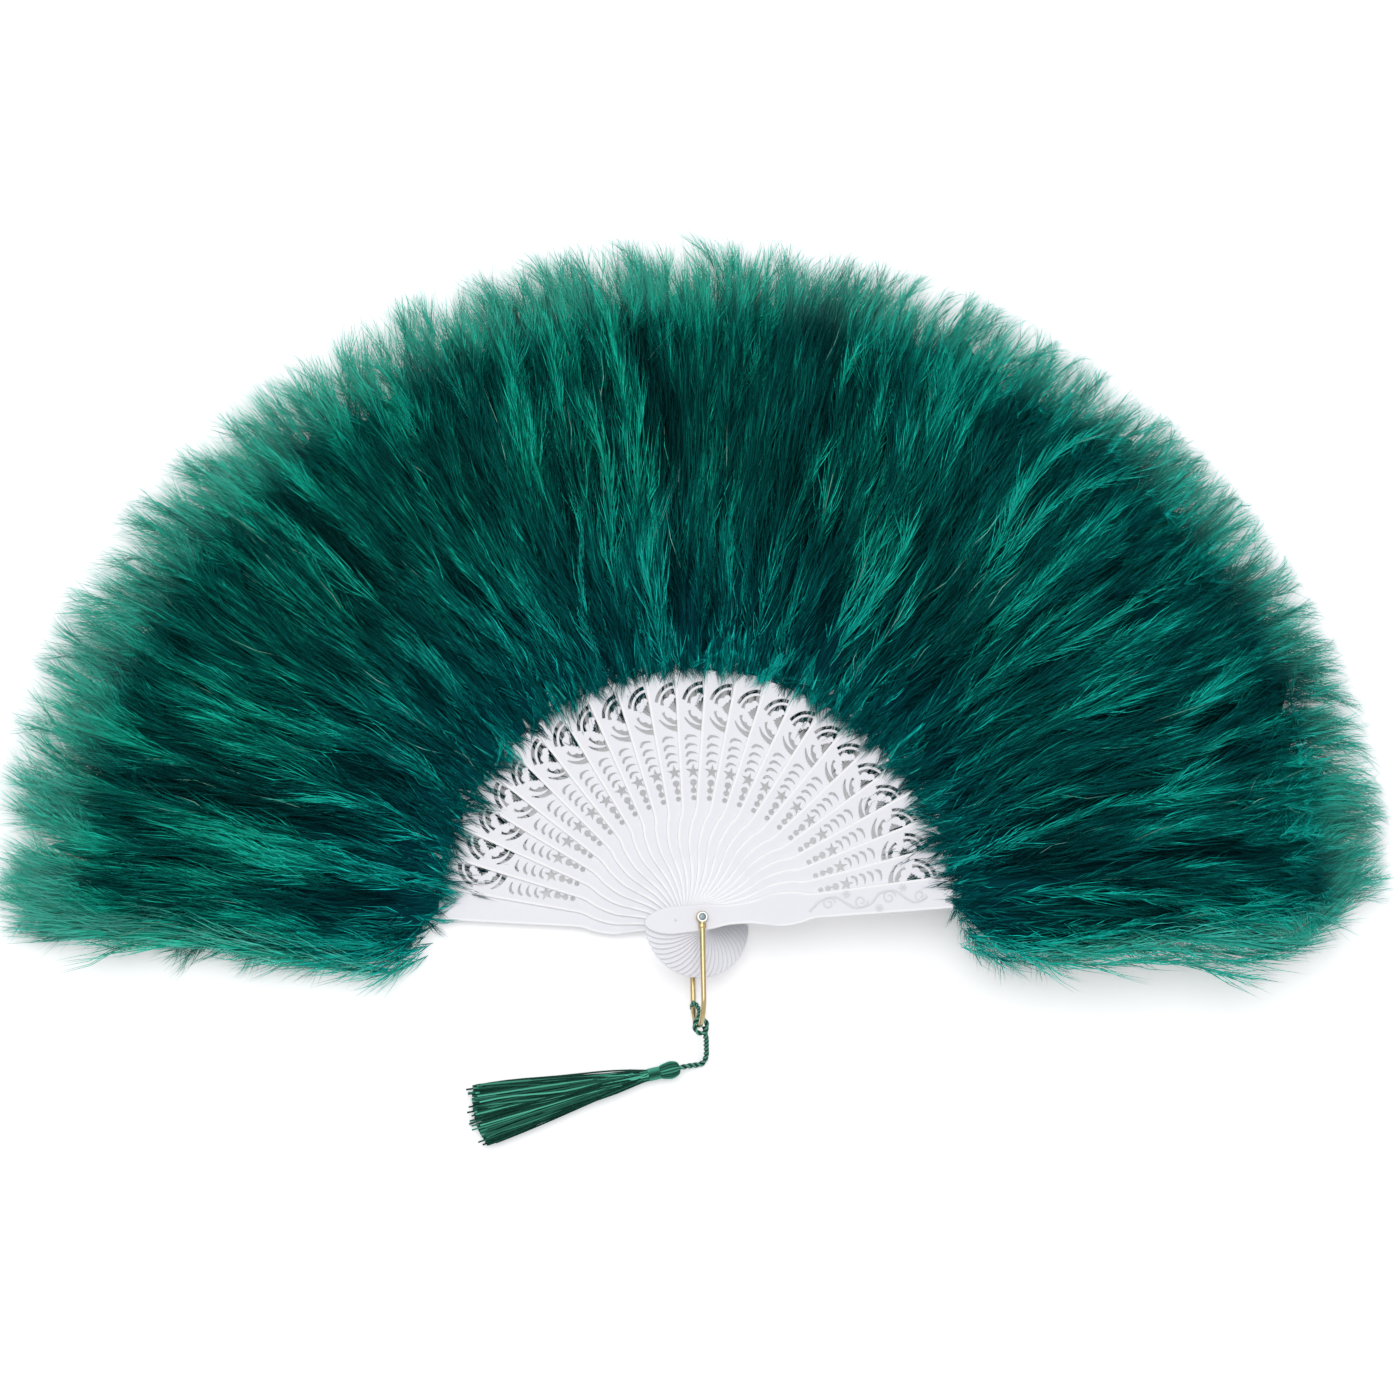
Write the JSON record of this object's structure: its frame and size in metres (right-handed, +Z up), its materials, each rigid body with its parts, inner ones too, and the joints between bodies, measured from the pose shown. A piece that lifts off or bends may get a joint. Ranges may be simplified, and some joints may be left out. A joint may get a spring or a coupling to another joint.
{
  "type": "feather fan",
  "caption": "Folding hand fan with pierced plastic sticks on a rivet, a half ring of dyed marabou down, a wire bail and a silk tassel, lying open.",
  "frame": {"origin": "centre of the rivet's lower head, on the surface that the open fan lies on", "axes": "+Z up along the rivet, +X to the fan's right as it lies open with its front guard on top, +Y away from the tassel"},
  "size_m": [0.5462, 0.3638, 0.0446],
  "materials": {
    "white_plastic": "moulded white plastic, satin",
    "dyed_down": "dyed marabou down, soft and matt",
    "rivet_steel": "nickel-plated steel, satin",
    "gilt_wire": "gold-plated wire, polished",
    "tassel_thread": "twisted artificial silk, soft sheen"
  },
  "bodies": {
    "back_rib": {"back_guard": "white_plastic", "back_guard_plume": "dyed_down", "rivet": "rivet_steel", "rivet_washer_back": "rivet_steel", "rivet_washer_front": "rivet_steel"},
    "rib_01": {"stick_01": "white_plastic", "plume_01": "dyed_down"},
    "rib_02": {"stick_02": "white_plastic", "plume_02": "dyed_down"},
    "rib_03": {"stick_03": "white_plastic", "plume_03": "dyed_down"},
    "rib_04": {"stick_04": "white_plastic", "plume_04": "dyed_down"},
    "rib_05": {"stick_05": "white_plastic", "plume_05": "dyed_down"},
    "rib_06": {"stick_06": "white_plastic", "plume_06": "dyed_down"},
    "rib_07": {"stick_07": "white_plastic", "plume_07": "dyed_down"},
    "rib_08": {"stick_08": "white_plastic", "plume_08": "dyed_down"},
    "rib_09": {"stick_09": "white_plastic", "plume_09": "dyed_down"},
    "rib_10": {"stick_10": "white_plastic", "plume_10": "dyed_down"},
    "rib_11": {"stick_11": "white_plastic", "plume_11": "dyed_down"},
    "rib_12": {"stick_12": "white_plastic", "plume_12": "dyed_down"},
    "rib_13": {"stick_13": "white_plastic", "plume_13": "dyed_down"},
    "rib_14": {"stick_14": "white_plastic", "plume_14": "dyed_down"},
    "rib_15": {"stick_15": "white_plastic", "plume_15": "dyed_down"},
    "rib_16": {"stick_16": "white_plastic", "plume_16": "dyed_down"},
    "rib_17": {"stick_17": "white_plastic", "plume_17": "dyed_down"},
    "rib_18": {"stick_18": "white_plastic", "plume_18": "dyed_down"},
    "rib_19": {"stick_19": "white_plastic", "plume_19": "dyed_down"},
    "rib_20": {"stick_20": "white_plastic", "plume_20": "dyed_down"},
    "rib_21": {"stick_21": "white_plastic", "plume_21": "dyed_down"},
    "rib_22": {"stick_22": "white_plastic", "plume_22": "dyed_down"},
    "rib_23": {"stick_23": "white_plastic", "plume_23": "dyed_down"},
    "front_rib": {"front_guard": "white_plastic", "front_guard_plume": "dyed_down"},
    "bail": {"bail": "gilt_wire"},
    "hitch": {"cord_hitch": "tassel_thread"},
    "tassel": {"tassel_cord": "tassel_thread", "tassel_head": "tassel_thread", "tassel_binding": "tassel_thread", "tassel_skirt": "tassel_thread"}
  },
  "joints": [
    {"name": "fan_fold", "type": "hinge", "parent": "back_rib", "child": "front_rib", "pos_m": [0, 0, 0], "axis": [0, 0, 1], "range_deg": [0, 169.4], "deforming": ["front_guard_plume", "back_guard_plume"]},
    {"name": "rib_01_fold", "type": "hinge", "parent": "back_rib", "child": "rib_01", "pos_m": [0, 0, 0], "axis": [0, 0, 1], "range_deg": [0, 7.07], "deforming": ["plume_01"]},
    {"name": "rib_02_fold", "type": "hinge", "parent": "back_rib", "child": "rib_02", "pos_m": [0, 0, 0], "axis": [0, 0, 1], "range_deg": [0, 14.13], "deforming": ["plume_02"]},
    {"name": "rib_03_fold", "type": "hinge", "parent": "back_rib", "child": "rib_03", "pos_m": [0, 0, 0], "axis": [0, 0, 1], "range_deg": [0, 21.19], "deforming": ["plume_03"]},
    {"name": "rib_04_fold", "type": "hinge", "parent": "back_rib", "child": "rib_04", "pos_m": [0, 0, 0], "axis": [0, 0, 1], "range_deg": [0, 28.25], "deforming": ["plume_04"]},
    {"name": "rib_05_fold", "type": "hinge", "parent": "back_rib", "child": "rib_05", "pos_m": [0, 0, 0], "axis": [0, 0, 1], "range_deg": [0, 35.31], "deforming": ["plume_05"]},
    {"name": "rib_06_fold", "type": "hinge", "parent": "back_rib", "child": "rib_06", "pos_m": [0, 0, 0], "axis": [0, 0, 1], "range_deg": [0, 42.36], "deforming": ["plume_06"]},
    {"name": "rib_07_fold", "type": "hinge", "parent": "back_rib", "child": "rib_07", "pos_m": [0, 0, 0], "axis": [0, 0, 1], "range_deg": [0, 49.42], "deforming": ["plume_07"]},
    {"name": "rib_08_fold", "type": "hinge", "parent": "back_rib", "child": "rib_08", "pos_m": [0, 0, 0], "axis": [0, 0, 1], "range_deg": [0, 56.48], "deforming": ["plume_08"]},
    {"name": "rib_09_fold", "type": "hinge", "parent": "back_rib", "child": "rib_09", "pos_m": [0, 0, 0], "axis": [0, 0, 1], "range_deg": [0, 63.54], "deforming": ["plume_09"]},
    {"name": "rib_10_fold", "type": "hinge", "parent": "back_rib", "child": "rib_10", "pos_m": [0, 0, 0], "axis": [0, 0, 1], "range_deg": [0, 70.6], "deforming": ["plume_10"]},
    {"name": "rib_11_fold", "type": "hinge", "parent": "back_rib", "child": "rib_11", "pos_m": [0, 0, 0], "axis": [0, 0, 1], "range_deg": [0, 77.66], "deforming": ["plume_11"]},
    {"name": "rib_12_fold", "type": "hinge", "parent": "back_rib", "child": "rib_12", "pos_m": [0, 0, 0], "axis": [0, 0, 1], "range_deg": [0, 84.71], "deforming": ["plume_12"]},
    {"name": "rib_13_fold", "type": "hinge", "parent": "back_rib", "child": "rib_13", "pos_m": [0, 0, 0], "axis": [0, 0, 1], "range_deg": [0, 91.77], "deforming": ["plume_13"]},
    {"name": "rib_14_fold", "type": "hinge", "parent": "back_rib", "child": "rib_14", "pos_m": [0, 0, 0], "axis": [0, 0, 1], "range_deg": [0, 98.83], "deforming": ["plume_14"]},
    {"name": "rib_15_fold", "type": "hinge", "parent": "back_rib", "child": "rib_15", "pos_m": [0, 0, 0], "axis": [0, 0, 1], "range_deg": [0, 105.89], "deforming": ["plume_15"]},
    {"name": "rib_16_fold", "type": "hinge", "parent": "back_rib", "child": "rib_16", "pos_m": [0, 0, 0], "axis": [0, 0, 1], "range_deg": [0, 112.95], "deforming": ["plume_16"]},
    {"name": "rib_17_fold", "type": "hinge", "parent": "back_rib", "child": "rib_17", "pos_m": [0, 0, 0], "axis": [0, 0, 1], "range_deg": [0, 120.01], "deforming": ["plume_17"]},
    {"name": "rib_18_fold", "type": "hinge", "parent": "back_rib", "child": "rib_18", "pos_m": [0, 0, 0], "axis": [0, 0, 1], "range_deg": [0, 127.07], "deforming": ["plume_18"]},
    {"name": "rib_19_fold", "type": "hinge", "parent": "back_rib", "child": "rib_19", "pos_m": [0, 0, 0], "axis": [0, 0, 1], "range_deg": [0, 134.12], "deforming": ["plume_19"]},
    {"name": "rib_20_fold", "type": "hinge", "parent": "back_rib", "child": "rib_20", "pos_m": [0, 0, 0], "axis": [0, 0, 1], "range_deg": [0, 141.18], "deforming": ["plume_20"]},
    {"name": "rib_21_fold", "type": "hinge", "parent": "back_rib", "child": "rib_21", "pos_m": [0, 0, 0], "axis": [0, 0, 1], "range_deg": [0, 148.24], "deforming": ["plume_21"]},
    {"name": "rib_22_fold", "type": "hinge", "parent": "back_rib", "child": "rib_22", "pos_m": [0, 0, 0], "axis": [0, 0, 1], "range_deg": [0, 155.3], "deforming": ["plume_22"]},
    {"name": "rib_23_fold", "type": "hinge", "parent": "back_rib", "child": "rib_23", "pos_m": [0, 0, 0], "axis": [0, 0, 1], "range_deg": [0, 162.36], "deforming": ["plume_23"]},
    {"name": "bail_swing", "type": "hinge", "parent": "back_rib", "child": "bail", "pos_m": [0, 0, 0], "axis": [0, 0, 1], "range_deg": [-10, 60]},
    {"name": "tassel_swing", "type": "hinge", "parent": "bail", "child": "hitch", "pos_m": [0.00181, -0.04146, 0.0162], "axis": [0, 0, 1], "range_deg": [-5, 90]},
    {"name": "tassel_lift", "type": "hinge", "parent": "hitch", "child": "tassel", "pos_m": [0.00181, -0.04146, 0.0162], "axis": [-0.2588, 0.9659, 0], "range_deg": [0, 75]}
  ],
  "couplings": [
    {"joint": "rib_01_fold", "follows": "fan_fold", "ratio": 0.041667},
    {"joint": "rib_02_fold", "follows": "fan_fold", "ratio": 0.083333},
    {"joint": "rib_03_fold", "follows": "fan_fold", "ratio": 0.125},
    {"joint": "rib_04_fold", "follows": "fan_fold", "ratio": 0.16667},
    {"joint": "rib_05_fold", "follows": "fan_fold", "ratio": 0.20833},
    {"joint": "rib_06_fold", "follows": "fan_fold", "ratio": 0.25},
    {"joint": "rib_07_fold", "follows": "fan_fold", "ratio": 0.29167},
    {"joint": "rib_08_fold", "follows": "fan_fold", "ratio": 0.33333},
    {"joint": "rib_09_fold", "follows": "fan_fold", "ratio": 0.375},
    {"joint": "rib_10_fold", "follows": "fan_fold", "ratio": 0.41667},
    {"joint": "rib_11_fold", "follows": "fan_fold", "ratio": 0.45833},
    {"joint": "rib_12_fold", "follows": "fan_fold", "ratio": 0.5},
    {"joint": "rib_13_fold", "follows": "fan_fold", "ratio": 0.54167},
    {"joint": "rib_14_fold", "follows": "fan_fold", "ratio": 0.58333},
    {"joint": "rib_15_fold", "follows": "fan_fold", "ratio": 0.625},
    {"joint": "rib_16_fold", "follows": "fan_fold", "ratio": 0.66667},
    {"joint": "rib_17_fold", "follows": "fan_fold", "ratio": 0.70833},
    {"joint": "rib_18_fold", "follows": "fan_fold", "ratio": 0.75},
    {"joint": "rib_19_fold", "follows": "fan_fold", "ratio": 0.79167},
    {"joint": "rib_20_fold", "follows": "fan_fold", "ratio": 0.83333},
    {"joint": "rib_21_fold", "follows": "fan_fold", "ratio": 0.875},
    {"joint": "rib_22_fold", "follows": "fan_fold", "ratio": 0.91667},
    {"joint": "rib_23_fold", "follows": "fan_fold", "ratio": 0.95833}
  ]
}
